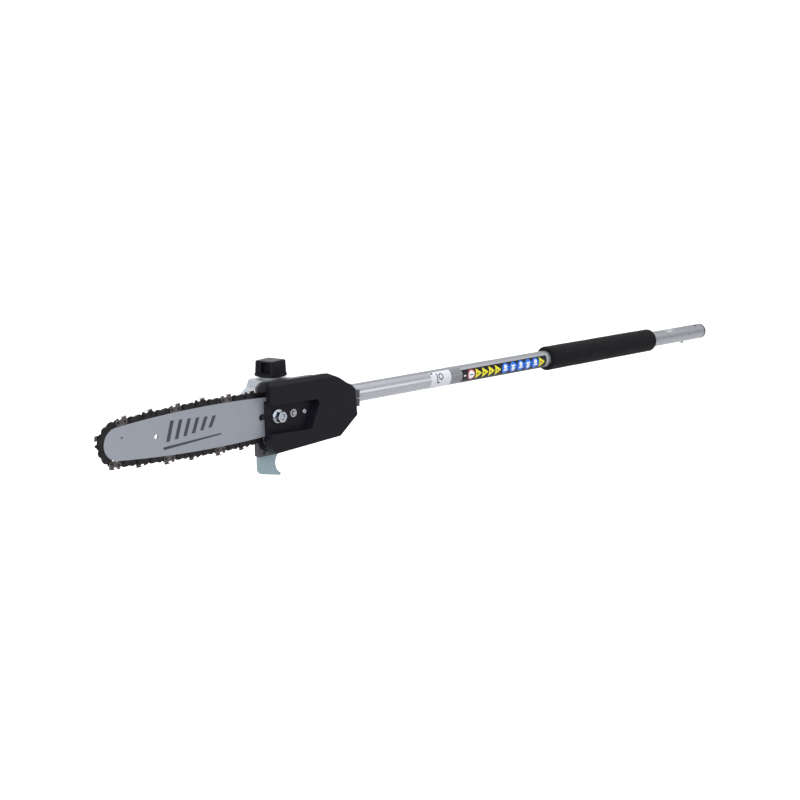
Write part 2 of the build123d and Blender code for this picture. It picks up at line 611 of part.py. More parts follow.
def tensioner_screw():
    points = gear_outline(RACK_MODULE, TENSION_TEETH, 0.6, 0.9, 0.40, -pi / 2)
    screw = gear_y(points, PAD_Y + 0.3, -29.2, TENSION_X, 0)
    screw += cyl_y(3.0 - RUNNING, -46.8, -26.2, TENSION_X, 0)
    slot = block(TENSION_X - 0.6, TENSION_X + 0.6, -47, -45.2, -4, 4)
    return screw - Pos(TENSION_X, 0, 0) * Rot(0, 35, 0) * Pos(-TENSION_X, 0, 0) * slot


# ---------------------------------------------------------------- chain
def chain_path():
    """Convex loop of the rivet line: drive sprocket, bar rails and nose sprocket."""
    drive_r = CHAIN_PITCH / (2 * sin(pi / (2 * SPROCKET_TEETH)))
    nose_r = CHAIN_PITCH / (2 * sin(pi / (2 * NOSE_TEETH)))
    cloud = []
    for degree in range(0, 3600):
        turn = radians(degree / 10)
        cloud.append((SPINDLE_X + drive_r * cos(turn), drive_r * sin(turn)))
        cloud.append((NOSE_X + nose_r * cos(turn), nose_r * sin(turn)))
    rail_centre = BAR_MID_HALF - BAR_EDGE_R
    for x in range(int(NOSE_X), int(BAR_MID_X + RAIL_REACH + 8)):
        z = rail_centre + sqrt((BAR_EDGE_R + RIVET_HEIGHT) ** 2 - (x - BAR_MID_X) ** 2)
        cloud.append((float(x), z))
        cloud.append((float(x), -z))
    return convex_loop(cloud)


def convex_loop(cloud):
    """Convex hull, anticlockwise in X and Z, starting at the rearmost point."""
    ordered = sorted(set(cloud))
    halves = []
    for run in (ordered, ordered[::-1]):
        hull = []
        for point in run:
            while len(hull) > 1 and turns_right(hull[-2], hull[-1], point):
                hull.pop()
            hull.append(point)
        halves.append(hull[:-1])
    loop = halves[0] + halves[1]
    start = max(range(len(loop)), key=lambda index: loop[index][0])
    return loop[start:] + loop[:start]


def turns_right(a, b, c):
    return (b[0] - a[0]) * (c[1] - a[1]) - (b[1] - a[1]) * (c[0] - a[0]) <= 0


def walk_chain(loop, pitch, count):
    """Points on the loop, each one pitch from the last, from half a drive link above the start."""
    lengths = [0.0]
    closed = loop + loop[:1]
    for a, b in zip(closed, closed[1:]):
        lengths.append(lengths[-1] + hypot(b[0] - a[0], b[1] - a[1]))

    def at(distance):
        distance %= lengths[-1]
        low, high = 0, len(lengths) - 1
        while high - low > 1:
            middle = (low + high) // 2
            low, high = (middle, high) if lengths[middle] <= distance else (low, middle)
        share = (distance - lengths[low]) / (lengths[high] - lengths[low])
        a, b = closed[low], closed[high]
        return (a[0] + (b[0] - a[0]) * share, a[1] + (b[1] - a[1]) * share)

    place = CHAIN_PHASE + pitch / 2
    points = [at(place)]
    for _ in range(count):
        near, far = place + 0.9 * pitch, place + 1.2 * pitch
        here = points[-1]
        for _ in range(40):
            middle = (near + far) / 2
            there = at(middle)
            if hypot(there[0] - here[0], there[1] - here[1]) < pitch:
                near = middle
            else:
                far = middle
        place = (near + far) / 2
        points.append(at(place))
    return points, place - CHAIN_PHASE - pitch / 2 - lengths[-1]


def rivet_points():
    """Rivet centres, with the pitch trimmed so that the chain closes on itself."""
    loop = chain_path()
    low, high = CHAIN_PITCH - 0.4, CHAIN_PITCH + 0.4
    for _ in range(40):
        middle = (low + high) / 2
        _, excess = walk_chain(loop, middle, RIVETS)
        low, high = (low, middle) if excess > 0 else (middle, high)
    points, excess = walk_chain(loop, low, RIVETS)
    print("chain pitch %.4f, closing error %.4f" % (low, excess))
    return points[:-1], low


def place_link(shape, a, b):
    """Put a link drawn along +X with its outer side up between two rivets."""
    turn = degrees(atan2(b[1] - a[1], b[0] - a[0]))
    return Pos((a[0] + b[0]) / 2, BAR_Y, (a[1] + b[1]) / 2) * Rot(0, -turn, 0) * shape


def round_ends(pitch, radius):
    return Pos(0, 0) * SlotCenterToCenter(pitch, 2 * radius)


def with_rivet_holes(shape, pitch):
    for side in (-1, 1):
        shape -= cyl_y(1.6, -5, 5, side * pitch / 2, 0)
    return shape


def drive_link(pitch):
    """Central link; the loop runs anticlockwise, so its outer side is local -Z."""
    body = curved_prism_y(round_ends(pitch, 3.9), -0.6, 0.6)
    tang = prism_y([(-3.6, 1.5), (3.6, 1.5), (1.9, 8.0), (1.0, 8.7), (-0.6, 8.7), (-2.0, 7.0)], -0.6, 0.6)
    notch = cyl_y(2.0, -1, 1, 0, -4.6)
    return with_rivet_holes(body + tang - notch, pitch)


def tie_strap(pitch, y0):
    strap = curved_prism_y(round_ends(pitch, 3.35), y0, y0 + 1.1)
    strap -= cyl_y(3.4, y0 - 1, y0 + 2, 0, -5.9)
    return with_rivet_holes(strap, pitch)


def cutter(pitch, side):
    """Cutter link: side plate with depth gauge and tooth, and a top plate folded over the middle."""
    y_in, y_out = 0.65 * side, 1.85 * side
    low, high = min(y_in, y_out), max(y_in, y_out)
    plate = curved_prism_y(round_ends(pitch, 3.35), low, high)
    plate += prism_y([(-7.6, 0.6), (-7.9, -2.0), (-6.6, -6.2), (-1.4, -5.8), (-0.6, -2.6), (0.6, -1.4),
                      (2.6, -1.9), (4.2, -5.5), (6.6, -5.3), (8.0, -1.6), (7.2, 0.6)], low, high)
    if side > 0:
        top = block(-7.0, -0.9, -0.4, 2.9, -6.3, -5.4)
    else:
        top = block(-7.0, -0.9, -2.9, 0.4, -6.3, -5.4)
    blade = Rot(0, -6, 0) * top
    return with_rivet_holes(plate + blade, pitch)


def chain_rivet():
    return cyl_y(1.6, -2.3, 2.3)


def chain_solids():
    points, pitch = rivet_points()
    drives, straps, cutters = [], [], []
    left, right = tie_strap(pitch, -1.75), tie_strap(pitch, 0.65)
    drive = drive_link(pitch)
    left_cutter, right_cutter = cutter(pitch, -1), cutter(pitch, 1)
    for index in range(RIVETS):
        a, b = points[index], points[(index + 1) % RIVETS]
        if index % 2:
            drives.append(place_link(drive, a, b))
            continue
        kind = (index // 2 + CUTTER_START) % 4
        if kind == 0:
            cutters.append(place_link(left_cutter, a, b))
            straps.append(place_link(right, a, b))
        elif kind == 2:
            cutters.append(place_link(right_cutter, a, b))
            straps.append(place_link(left, a, b))
        else:
            straps.append(place_link(left, a, b))
            straps.append(place_link(right, a, b))
    rivets = [Pos(x, BAR_Y, z) * chain_rivet() for x, z in points]
    return drives, straps, cutters, rivets


# ---------------------------------------------------------------- chain cover
def cover_outline(inset, top_z):
    """Cover profile; inset moves every side inwards by roughly the given amount."""
    return [(-1034 + inset, -39 + inset), (-1028 + inset, -45.4 + inset), (-919 - inset * 0.4, -39 + inset),
            (-888.5 - inset, -15 + inset * 0.4), (-892.5 - inset, 21 - inset * 0.5),
            (-920.5 - inset * 0.5, 38.5 - inset), (-936.5 - inset * 0.2, top_z - 0.2),
            (-1037 + inset, top_z)]


def recess_outline(wall):
    """Hollow in the cover's front that opens to the left, grown by the wall thickness."""
    return [(-1048, -19.5 - wall), (-968.5 + wall * 0.8, -22 - wall), (-955.5 + wall, 7),
            (-955 + wall, 11.5), (-959.5 + wall * 0.7, 15.4 + wall), (-1048, 17.2 + wall)]


def chain_cover():
    shell = prism_y(cover_outline(0, COVER_TOP_Z), COVER_FRONT_Y, PLATE_Y[0])
    front = shell.edges().group_by(Axis.Y)[0]
    top_edge = front.sort_by(Axis.Z)[-1]
    shell = chamfer(top_edge, COVER_CHAMFER)
    shell -= cover_top_slope()
    recess = prism_y(recess_outline(0), COVER_FRONT_Y - 1, RECESS_FLOOR_Y)
    wall = COVER_WALL
    inside = prism_y(cover_outline(wall, COVER_REAR_TOP_Z - wall), COVER_FRONT_Y + wall, PLATE_Y[0] + 1)
    inside -= prism_y(recess_outline(wall), COVER_FRONT_Y - 1, RECESS_FLOOR_Y + RECESS_FLOOR_WALL)
    shell -= inside
    shell -= recess
    shell += cyl_y(9.5, RECESS_FLOOR_Y + RECESS_FLOOR_WALL, BAR_Y - BAR_HALF - 0.02, STUD_X, 0)
    shell -= block(-1048, -1022, PLATE_Y[0] - 12.0, PLATE_Y[0] + 1, -38.5, 38.5)
    shell -= block(-1048, -1022, COVER_FRONT_Y + 9.0, PLATE_Y[0] + 1, 21, COVER_TOP_Z + 1)
    shell -= cyl_y(4.6, -50, -30, STUD_X, 0)
    shell -= cyl_y(5.15, -50, -30, POST_X, 0)
    shell -= cyl_y(4.0, -50, -30, TENSION_X, 0)
    return shell


def cover_top_slope():
    """The cover's top face falls from the chamfer to its rear edge."""
    ridge_y = COVER_FRONT_Y + COVER_CHAMFER
    above = COVER_TOP_Z + 5
    behind = PLATE_Y[0] + 1
    face = make_face(Polyline((ridge_y, COVER_TOP_Z), (ridge_y, above), (behind, above),
                              (behind, COVER_REAR_TOP_Z), (PLATE_Y[0], COVER_REAR_TOP_Z), close=True))
    return Pos(-1048, 0, 0) * extrude(Plane.YZ * face, amount=160)


def cover_bush():
    bush = cyl_y(5.15, RECESS_FLOOR_Y - 0.4, RECESS_FLOOR_Y + RECESS_FLOOR_WALL, POST_X, 0)
    return bush - cyl_y(3.4, -50, -40, POST_X, 0)


def bar_nut():
    nut = hex_y(13.0, -56.6, -47.8, STUD_X, 0)
    nut = nut & cone_y(STUD_X, 0)
    nut += cyl_y(8.8, -47.9, RECESS_FLOOR_Y - 0.02, STUD_X, 0)
    return nut - cyl_y(4.0 + RUNNING + 0.02, -60, -40, STUD_X, 0)


def cone_y(x, z):
    """Cuts the hexagon's corners at the nut's outer end."""
    return Pos(x, -51.6, z) * Rot(90, 0, 0) * Cone(13.0, 6.9, 10.0)


# ---------------------------------------------------------------- build
def main():
    os.makedirs("parts", exist_ok=True)
    save("pole_tube", pole_tube())
    save("coupling_end_ring", coupling_end_ring())
    save("locating_pin", locating_pin())
    save("shaft_bushings", *shaft_bushings())
    save("foam_grip", foam_grip())
    save("symbol_label", wrap_label(*SYMBOL_LABEL_X, radians(-38), radians(175)))
    save("label_film", wrap_label(*FILM_X, radians(-60), radians(250)))
    save("info_label", wrap_label(*INFO_LABEL_X, radians(-60), radians(200)))
    save("insertion_label", wrap_label(*ARROW_LABEL_X, radians(-78), radians(-42)))
    save("gearcase", gearcase())
    save("clamp_screws", *clamp_screws())
    save("gearcase_lid", gearcase_lid())
    save("lid_screws", *lid_screws())
    save("pinion_bearings", *pinion_bearings())
    save("spindle_bearings", *spindle_bearings())
    save("spindle_seal", spindle_seal())
    save("inner_guide_plate", inner_guide_plate())
    save("bar_stud", bar_stud())
    save("rear_guide_post", rear_guide_post())
    save("oil_tank", oil_tank())
    save("tank_screws", *tank_screws())
    save("tank_grommet", tank_grommet())
    save("oil_pickup_hose", oil_pickup_hose())
    save("oil_filter", oil_filter())
    save("oil_pump_body", oil_pump_body())
    save("limb_hook", limb_hook())
    save("hook_screws", *hook_screws())
    save("drive_shaft", drive_shaft())
    save("bevel_pinion", bevel_pinion())
    save("bevel_gear", bevel_gear())
    save("output_spindle", output_spindle())
    save("pump_drive_gear", pump_drive_gear())
    save("drive_sprocket", drive_sprocket())
    save("sprocket_washer", sprocket_washer())
    save("sprocket_e_clip", sprocket_e_clip())
    save("pump_gear", pump_gear())
    save("bar_side_plates", *bar_side_plates())
    save("bar_core", bar_core())
    save("bar_rivets", *bar_rivets())
    save("nose_hub", nose_hub())
    save("nose_sprocket", nose_sprocket())
    save("tension_rack", tension_rack())
    save("tensioner_screw", tensioner_screw())
    drives, straps, cutters, rivets = chain_solids()
    save("chain_drive_links", *drives)
    save("chain_tie_straps", *straps)
    save("chain_cutters", *cutters)
    save("chain_rivets", *rivets)
    save("chain_cover", chain_cover())
    save("cover_bush", cover_bush())
    save("bar_nut", bar_nut())
    save("cap_gasket", cap_gasket())
    save("oil_cap", oil_cap())


main()
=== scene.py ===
import json
import math

import bmesh
import bpy
from mathutils import Matrix, Vector, noise


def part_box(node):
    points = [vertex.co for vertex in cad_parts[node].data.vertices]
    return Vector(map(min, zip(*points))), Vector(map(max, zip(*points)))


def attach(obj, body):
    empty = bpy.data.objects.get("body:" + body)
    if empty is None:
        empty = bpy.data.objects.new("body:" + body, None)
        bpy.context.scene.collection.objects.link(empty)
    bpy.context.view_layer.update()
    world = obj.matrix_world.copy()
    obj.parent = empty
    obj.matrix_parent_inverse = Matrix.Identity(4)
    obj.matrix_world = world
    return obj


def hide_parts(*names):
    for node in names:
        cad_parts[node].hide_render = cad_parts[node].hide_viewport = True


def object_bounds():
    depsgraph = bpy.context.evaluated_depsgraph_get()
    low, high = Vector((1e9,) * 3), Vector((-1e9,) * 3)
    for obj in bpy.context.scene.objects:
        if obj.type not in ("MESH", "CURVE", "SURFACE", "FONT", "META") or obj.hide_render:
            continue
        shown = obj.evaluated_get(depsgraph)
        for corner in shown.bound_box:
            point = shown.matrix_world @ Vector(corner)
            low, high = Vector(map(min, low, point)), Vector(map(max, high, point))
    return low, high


# Looks for the pole saw attachment. Metres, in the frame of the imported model: the origin is the
# centre of the tube's coupling end, +X runs out of that end, the saw head lies at -X, +Z is up,
# and the guide bar and its cover are on the -Y side.

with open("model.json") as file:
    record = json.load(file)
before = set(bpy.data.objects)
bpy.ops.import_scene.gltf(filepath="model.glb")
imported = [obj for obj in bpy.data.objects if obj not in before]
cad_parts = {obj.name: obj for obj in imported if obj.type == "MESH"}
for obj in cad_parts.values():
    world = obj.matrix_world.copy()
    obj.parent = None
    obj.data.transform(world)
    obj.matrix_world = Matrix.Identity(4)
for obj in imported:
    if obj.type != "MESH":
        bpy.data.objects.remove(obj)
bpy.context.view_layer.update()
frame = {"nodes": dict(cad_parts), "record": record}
POLE = "pole_and_gearcase"
BAR = "bar_and_chain"
MM = 0.001
QUARTER = math.pi / 2


def rgb(red, green, blue):
    """Linear colour of an sRGB colour given from 0 to 255."""
    return tuple((value / 255) ** 2.2 for value in (red, green, blue))


def scaled(colour, amount=1.0):
    """Opaque RGBA colour, darkened or brightened by amount."""
    return (colour[0] * amount, colour[1] * amount, colour[2] * amount, 1.0)


# ---------------------------------------------------------------- materials
NOISE_BAND = (0.3, 0.7)             # where most values of a noise texture lie
EDGE_COSINES = (0.985, 0.80)        # cosine between face and rounded normal: open face, full edge
GAP_SHADE_BAND = (0.12, 0.75)         # openness that counts as deep in a gap, and as open, for the painted shade in gaps
GAP_SHADE_TONE = 0.12                 # brightness of the painted shade deep in a gap
EDGE_MARK_PATCH_SCALE = 260.0            # bumps per metre, as for every scale of a texture
EDGE_MARK_PATCH_BAND = (0.45, 0.65)
LEAST_ROUGHNESS = 0.02
COLOUR_A, COLOUR_B, MIXED_COLOUR = 6, 7, 2      # sockets of a mix node that is set to colours


class Finish:
    """A node material under construction, with its texture vector in the object's own metres."""

    def __init__(self, name, stretch=(1.0, 1.0, 1.0)):
        self.material = bpy.data.materials.new(name)
        self.material.use_nodes = True
        self.tree = self.material.node_tree
        self.shader = self.tree.nodes["Principled BSDF"]
        place = self.add("ShaderNodeTexCoord")
        mapping = self.add("ShaderNodeMapping", Scale=stretch)
        self.link(place.outputs["Object"], mapping.inputs["Vector"])
        self.vector = mapping.outputs["Vector"]

    def add(self, kind, **values):
        """New node; each value goes to the input of that name, with _ for a space."""
        node = self.tree.nodes.new(kind)
        for name, value in values.items():
            node.inputs[name.replace("_", " ")].default_value = value
        return node

    def link(self, source, target):
        self.tree.links.new(source, target)

    def feed(self, **sources):
        """Links sockets to the shader's inputs of those names."""
        for name, source in sources.items():
            self.link(source, self.shader.inputs[name.replace("_", " ")])

    def set(self, **values):
        """Sets plain values on the shader's inputs of those names."""
        for name, value in values.items():
            self.shader.inputs[name.replace("_", " ")].default_value = value

    def noise(self, scale, detail=4.0, roughness=0.55):
        node = self.add("ShaderNodeTexNoise", Scale=scale, Detail=detail, Roughness=roughness)
        self.link(self.vector, node.inputs["Vector"])
        return node.outputs["Fac"]

    def cells(self, scale):
        node = self.add("ShaderNodeTexVoronoi", Scale=scale)
        self.link(self.vector, node.inputs["Vector"])
        return node.outputs["Distance"]

    def remap(self, value, band, new_low, new_high):
        """The value, with the band stretched to run from new_low to new_high."""
        node = self.add("ShaderNodeMapRange", From_Min=band[0], From_Max=band[1],
                        To_Min=new_low, To_Max=new_high)
        self.link(value, node.inputs["Value"])
        return node.outputs["Result"]

    def mix(self, share, first, second):
        """Colour mix; first and second are colours or sockets."""
        node = self.add("ShaderNodeMix")
        node.data_type = "RGBA"
        self.link(share, node.inputs["Factor"])
        for index, value in ((COLOUR_A, first), (COLOUR_B, second)):
            if isinstance(value, tuple):
                node.inputs[index].default_value = value
            else:
                self.link(value, node.inputs[index])
        return node.outputs[MIXED_COLOUR]

    def times(self, first, second):
        node = self.add("ShaderNodeMath")
        node.operation = "MULTIPLY"
        self.link(first, node.inputs[0])
        self.link(second, node.inputs[1])
        return node.outputs["Value"]

    def rounded_normal(self, radius):
        node = self.add("ShaderNodeBevel", Radius=radius)
        node.samples = 4
        return node.outputs["Normal"]

    def edge_mask(self, normal):
        """1 along outer and inner edges, 0 on open faces."""
        geometry = self.add("ShaderNodeNewGeometry")
        dot = self.add("ShaderNodeVectorMath")
        dot.operation = "DOT_PRODUCT"
        self.link(normal, dot.inputs[0])
        self.link(geometry.outputs["Normal"], dot.inputs[1])
        return self.remap(dot.outputs["Value"], EDGE_COSINES, 0.0, 1.0)

    def painted_gap_shade(self, reach):
        """Mask for painted shade: 0 deep in holes and gaps, 1 on open faces."""
        node = self.add("ShaderNodeAmbientOcclusion", Distance=reach)
        node.samples = 8
        return self.remap(node.outputs["AO"], GAP_SHADE_BAND, 0.0, 1.0)

    def bump(self, height, strength, depth, normal=None):
        node = self.add("ShaderNodeBump", Strength=strength, Distance=depth)
        self.link(height, node.inputs["Height"])
        if normal is not None:
            self.link(normal, node.inputs["Normal"])
        return node.outputs["Normal"]


def surface(name, colour, roughness, metallic=0.0, mottle=0.06, mottle_scale=35.0, grain=900.0,
            grain_depth=0.00004, gloss_change=0.08, edge=0.0004, wear=0.0,
            wear_colour=(0.5, 0.5, 0.5), crevice=0.0, stretch=(1.0, 1.0, 1.0), **shader):
    """Colour that drifts gently, fine grain in gloss and relief, softened edges, edge wear that is
    partly a painted highlight, and painted shade in holes and gaps.
    """
    finish = Finish(name, stretch)
    drift = finish.noise(mottle_scale)
    fine = finish.noise(grain, detail=6.0, roughness=0.65)
    tone = finish.mix(drift, scaled(colour, 1 - mottle), scaled(colour, 1 + mottle))
    normal = finish.rounded_normal(edge)
    # Edge colour along edges, in patches: wear, and where the edge colour is lighter, partly a painted
    # highlight.
    if wear:
        patchy = finish.remap(finish.noise(EDGE_MARK_PATCH_SCALE), EDGE_MARK_PATCH_BAND, 0.0, wear)
        mask = finish.times(finish.edge_mask(normal), patchy)
        tone = finish.mix(mask, tone, scaled(wear_colour))
    # Painted shade: the colour darkens deep in holes and gaps.
    if crevice:
        tone = finish.mix(finish.painted_gap_shade(crevice), scaled(colour, GAP_SHADE_TONE), tone)
    least_rough = max(LEAST_ROUGHNESS, roughness - gloss_change)
    finish.feed(Base_Color=tone,
                Roughness=finish.remap(fine, NOISE_BAND, least_rough, roughness + gloss_change),
                Normal=finish.bump(fine, strength=0.6, depth=grain_depth, normal=normal))
    finish.set(Metallic=metallic, **shader)
    return finish.material


def foam(name):
    """Closed-cell foam: small round cells, dusty highlights and a soft sheen."""
    colour, cell_band, cell_share = rgb(20, 19, 23), (0.15, 0.6), 0.25
    finish = Finish(name)
    cells = finish.cells(1500.0)
    broad = finish.noise(60.0, detail=5.0, roughness=0.6)
    tone = finish.mix(broad, scaled(colour, 0.75), scaled(colour, 1.45))
    cell_rims = finish.remap(cells, cell_band, 0.0, cell_share)
    finish.feed(Base_Color=finish.mix(cell_rims, tone, scaled(colour, 1.9)),
                Roughness=finish.remap(broad, NOISE_BAND, 0.72, 0.9),
                Normal=finish.bump(cells, strength=0.9, depth=0.00022))
    finish.set(Specular_IOR_Level=0.12, Sheen_Weight=0.03, Sheen_Roughness=0.5)
    return finish.material


def clear_film(name):
    """Clear film over the tube with a speckle of dust and trapped air."""
    clean, dusty, speck_band = rgb(124, 127, 131), rgb(116, 119, 125), (0.56, 0.62)
    finish = Finish(name)
    specks = finish.remap(finish.noise(1400.0, detail=3.0, roughness=0.7), speck_band, 0.0, 1.0)
    finish.feed(Base_Color=finish.mix(specks, scaled(clean), scaled(dusty)),
                Roughness=finish.remap(finish.noise(90.0), NOISE_BAND, 0.18, 0.34),
                Normal=finish.bump(finish.noise(500.0), strength=0.4, depth=0.00003))
    finish.set(Alpha=0.85, Coat_Weight=0.3)
    return finish.material


def studio_paper(name):
    """Backdrop paper, lit from within for the camera only, so that it throws little light back."""
    glow_in_reflections, glow_seen = 0.05, 0.75
    darker, lighter = (0.60, 0.60, 0.60), (0.64, 0.64, 0.64)
    finish = Finish(name)
    seen = finish.add("ShaderNodeLightPath").outputs["Is Camera Ray"]
    finish.feed(Base_Color=finish.mix(finish.noise(3.0), scaled(darker), scaled(lighter)),
                Emission_Strength=finish.remap(seen, (0.0, 1.0), glow_in_reflections, glow_seen))
    finish.set(Roughness=0.9, Emission_Color=(1.0, 1.0, 1.0, 1.0))
    return finish.material


# Settings that several finishes share.
BLACK_PLASTIC = rgb(22, 21, 28)
# The plastics' lighter edge colour is a painted edge highlight as well as wear.
PLASTIC = dict(grain=1500.0, grain_depth=0.00005, mottle=0.12, wear=0.35,
               wear_colour=rgb(46, 45, 53), Specular_IOR_Level=0.16)
STEEL = dict(metallic=1.0, grain=1200.0, grain_depth=0.00001)
PRINT = dict(mottle=0.03, grain=500.0, grain_depth=0.00001)
INK = dict(roughness=0.36, mottle=0.05, grain=800.0, grain_depth=0.00001, edge=0.0001)
# A finish with a gap reach gets painted shade in holes and gaps within that distance, in metres.
FINISHES = {
    "tube_aluminium": dict(colour=rgb(172, 175, 181), roughness=0.28, metallic=0.75, mottle=0.012,
                           grain=30.0, grain_depth=0.000003, gloss_change=0.02, crevice=0.005,
                           stretch=(0.6, 40.0, 40.0)),
    "black_plastic": dict(colour=BLACK_PLASTIC, roughness=0.5, **PLASTIC),
    "steel_bright": dict(colour=rgb(180, 182, 186), roughness=0.24, **STEEL),
    "bushing_rubber": dict(colour=rgb(34, 34, 36), roughness=0.7),
    "symbol_print": dict(colour=rgb(24, 23, 26), roughness=0.36, mottle=0.08, grain=700.0,
                         grain_depth=0.00001, Specular_IOR_Level=0.25),
    "info_print": dict(colour=rgb(198, 201, 208), roughness=0.34, **PRINT),
    "info_print_small": dict(colour=rgb(168, 171, 176), roughness=0.34, **PRINT),
    "cast_grey": dict(colour=rgb(66, 67, 73), roughness=0.42, metallic=0.25, mottle=0.12,
                      grain=1100.0, grain_depth=0.00008, edge=0.0006, wear=0.5,
                      wear_colour=rgb(118, 120, 126), crevice=0.006),
    "screw_black": dict(colour=rgb(42, 42, 44), roughness=0.34, metallic=0.7),
    "screw_zinc": dict(colour=rgb(182, 188, 195), roughness=0.22, metallic=1.0, grain=1500.0,
                       grain_depth=0.00001, edge=0.0003),
    "bearing_steel": dict(colour=rgb(178, 179, 182), roughness=0.2, **STEEL),
    "seal_rubber": dict(colour=rgb(30, 30, 32), roughness=0.65),
    "spring_steel": dict(colour=rgb(128, 130, 136), roughness=0.3, metallic=0.9, grain=300.0,
                         stretch=(1.0, 6.0, 6.0)),
    "tank_translucent": dict(colour=rgb(152, 157, 163), roughness=0.38, mottle=0.04,
                             mottle_scale=24.0, grain=1300.0, grain_depth=0.00003, edge=0.0008,
                             Subsurface_Weight=0.25, Subsurface_Scale=0.004),
    "hose_rubber": dict(colour=rgb(38, 38, 40), roughness=0.6),
    "filter_felt": dict(colour=rgb(176, 166, 146), roughness=0.9, grain=2200.0,
                        grain_depth=0.0002),
    "pump_plastic": dict(colour=rgb(40, 40, 44), roughness=0.5, **PLASTIC),
    "hook_zinc": dict(colour=rgb(134, 152, 160), roughness=0.34, metallic=0.35, mottle=0.05,
                      mottle_scale=60.0, grain_depth=0.00002, edge=0.0005),
    "gear_steel": dict(colour=rgb(118, 119, 124), roughness=0.28, metallic=0.95),
    "gear_plastic": dict(colour=rgb(228, 224, 210), roughness=0.42, mottle=0.03),
    "bar_paint": dict(colour=rgb(130, 134, 143), roughness=0.44, metallic=0.12, mottle=0.035,
                      mottle_scale=14.0, grain=1000.0, grain_depth=0.00003, edge=0.0003, wear=0.8,
                      wear_colour=rgb(96, 98, 104), crevice=0.003),
    "bar_rivet_paint": dict(colour=rgb(128, 132, 141), roughness=0.46, metallic=0.12, mottle=0.04),
    "chain_dark": dict(colour=rgb(46, 45, 47), roughness=0.34, metallic=0.8, mottle=0.5,
                       mottle_scale=160.0, grain=1400.0, grain_depth=0.00005, edge=0.0002,
                       wear=0.6, wear_colour=rgb(120, 117, 114), crevice=0.003),
    # The bright edge colour of the cutters is ground steel and a painted highlight.
    "chain_cutter_steel": dict(colour=rgb(92, 88, 87), roughness=0.25, metallic=0.9, mottle=0.5,
                               mottle_scale=140.0, grain=1300.0, grain_depth=0.00004, edge=0.0003,
                               wear=1.0, wear_colour=rgb(215, 214, 212), crevice=0.003),
    "cover_plastic": dict(colour=BLACK_PLASTIC, roughness=0.5, edge=0.0007, **PLASTIC),
    "cap_plastic": dict(colour=BLACK_PLASTIC, roughness=0.46, edge=0.0007, **PLASTIC),
    "ink_yellow": dict(colour=rgb(219, 211, 32), **INK),
    "ink_blue": dict(colour=rgb(0, 104, 214), **INK),
    "ink_white": dict(colour=rgb(222, 224, 228), **INK),
    "ink_red": dict(colour=rgb(176, 60, 70), **INK),
    "ink_black": dict(colour=rgb(44, 44, 52), **INK),
    "ink_grey": dict(colour=rgb(48, 51, 59), **INK),
}
SPECIAL_FINISHES = {"grip_foam": foam, "clear_film": clear_film, "studio_paper": studio_paper}
materials = {}


def material_for(name):
    if name not in materials:
        if name in SPECIAL_FINISHES:
            materials[name] = SPECIAL_FINISHES[name](name)
        else:
            materials[name] = surface(name, **FINISHES[name])
    return materials[name]


def paint_cad_nodes():
    for part in frame["record"]["subparts"]:
        node = frame["nodes"][part["node"]]
        node.data.materials.clear()
        node.data.materials.append(material_for(part["material_slot"]))


# ---------------------------------------------------------------- mesh helpers
def in_scene(name, data):
    made = bpy.data.objects.new(name, data)
    bpy.context.scene.collection.objects.link(made)
    return made


def mesh_object(name, shape, material, smooth):
    """Object made from a bmesh, which is freed."""
    data = bpy.data.meshes.new(name)
    shape.to_mesh(data)
    shape.free()
    for polygon in data.polygons:
        polygon.use_smooth = smooth
    data.materials.append(material_for(material))
    return in_scene(name, data)


def visible_piece(name, shape, material, body, smooth=False):
    """Object that rides on a body, with the finish of the given name."""
    piece = mesh_object(name, shape, material, smooth)
    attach(piece, body)
    return piece


def half_depth(node):
    """Half of a node's extent along Y; for a band round the tube, its outer radius."""
    low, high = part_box(node)
    return (high.y - low.y) / 2


def half_height(node):
    """Half of a node's extent along Z; for the tube and its sleeve, the outer radius."""
    low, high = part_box(node)
    return (high.z - low.z) / 2


def turned(profile, segments):
    """Closed ring mesh about X from a closed profile of (x, radius)."""
    mesh = bmesh.new()
    rings = []
    for step in range(segments):
        turn = 2 * math.pi * step / segments
        across, up = math.cos(turn), math.sin(turn)
        rings.append([mesh.verts.new((x, r * across, r * up)) for x, r in profile])
    for step in range(segments):
        here, there = rings[step], rings[(step + 1) % segments]
        for index in range(len(profile)):
            after = (index + 1) % len(profile)
            mesh.faces.new((here[index], there[index], there[after], here[after]))
    bmesh.ops.recalc_face_normals(mesh, faces=mesh.faces)
    return mesh


# ---------------------------------------------------------------- foam grip
GRIP_SEGMENTS = 112                 # round the tube
GRIP_SPANS = 150                    # along the barrel
GRIP_LIP = 3.2 * MM                 # radius of the rounded ends
LIP_STEPS = 6
MOUTH_CUT = (0.6 * MM, 0.8 * MM)    # chamfer where the bore opens: along X, across
GRIP_PLAY = 0.02 * MM               # between tube and bore
SWELL_ROOM = 0.15 * MM              # left between the smooth barrel and the CAD sleeve's skin
SKIN_FROM = 1.0 * MM                # above the bore, where the uneven skin begins
BROAD_SWELL, BROAD_SCALE = 0.28 * MM, (28, 70, 70)
FINE_SWELL, FINE_SCALE = 0.10 * MM, 420


